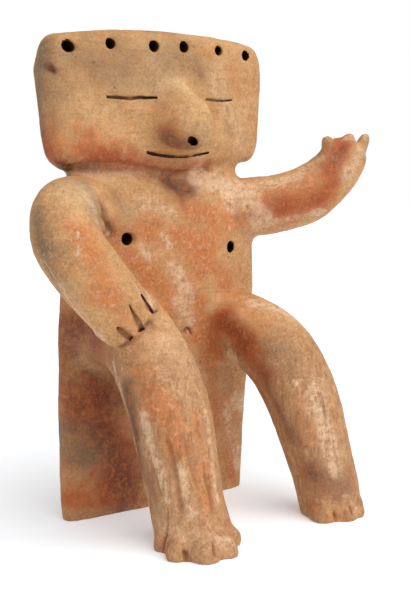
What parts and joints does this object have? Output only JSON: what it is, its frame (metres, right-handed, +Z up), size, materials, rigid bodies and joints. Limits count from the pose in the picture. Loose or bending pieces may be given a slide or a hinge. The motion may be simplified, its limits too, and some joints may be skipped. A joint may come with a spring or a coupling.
{
  "type": "seated ceramic slab statuette",
  "caption": "Seated fired-clay slab figure with a broad flat head, one arm raised and one hand on the knee; an ornament that stands by itself.",
  "frame": {"origin": "on the floor, under the middle of the figure's bounding box", "axes": "+Z up, the face looks along -Y, the figure's own right hand is on the -X side"},
  "size_m": [0.2354, 0.1278, 0.2804],
  "materials": {
    "terracotta": "low-fired buff and orange clay, hand-smoothed and lightly burnished, with worn pale slip, fire clouds and soil in the hollows"
  },
  "bodies": {
    "root": {"seated_figure": "terracotta"}
  },
  "joints": []
}
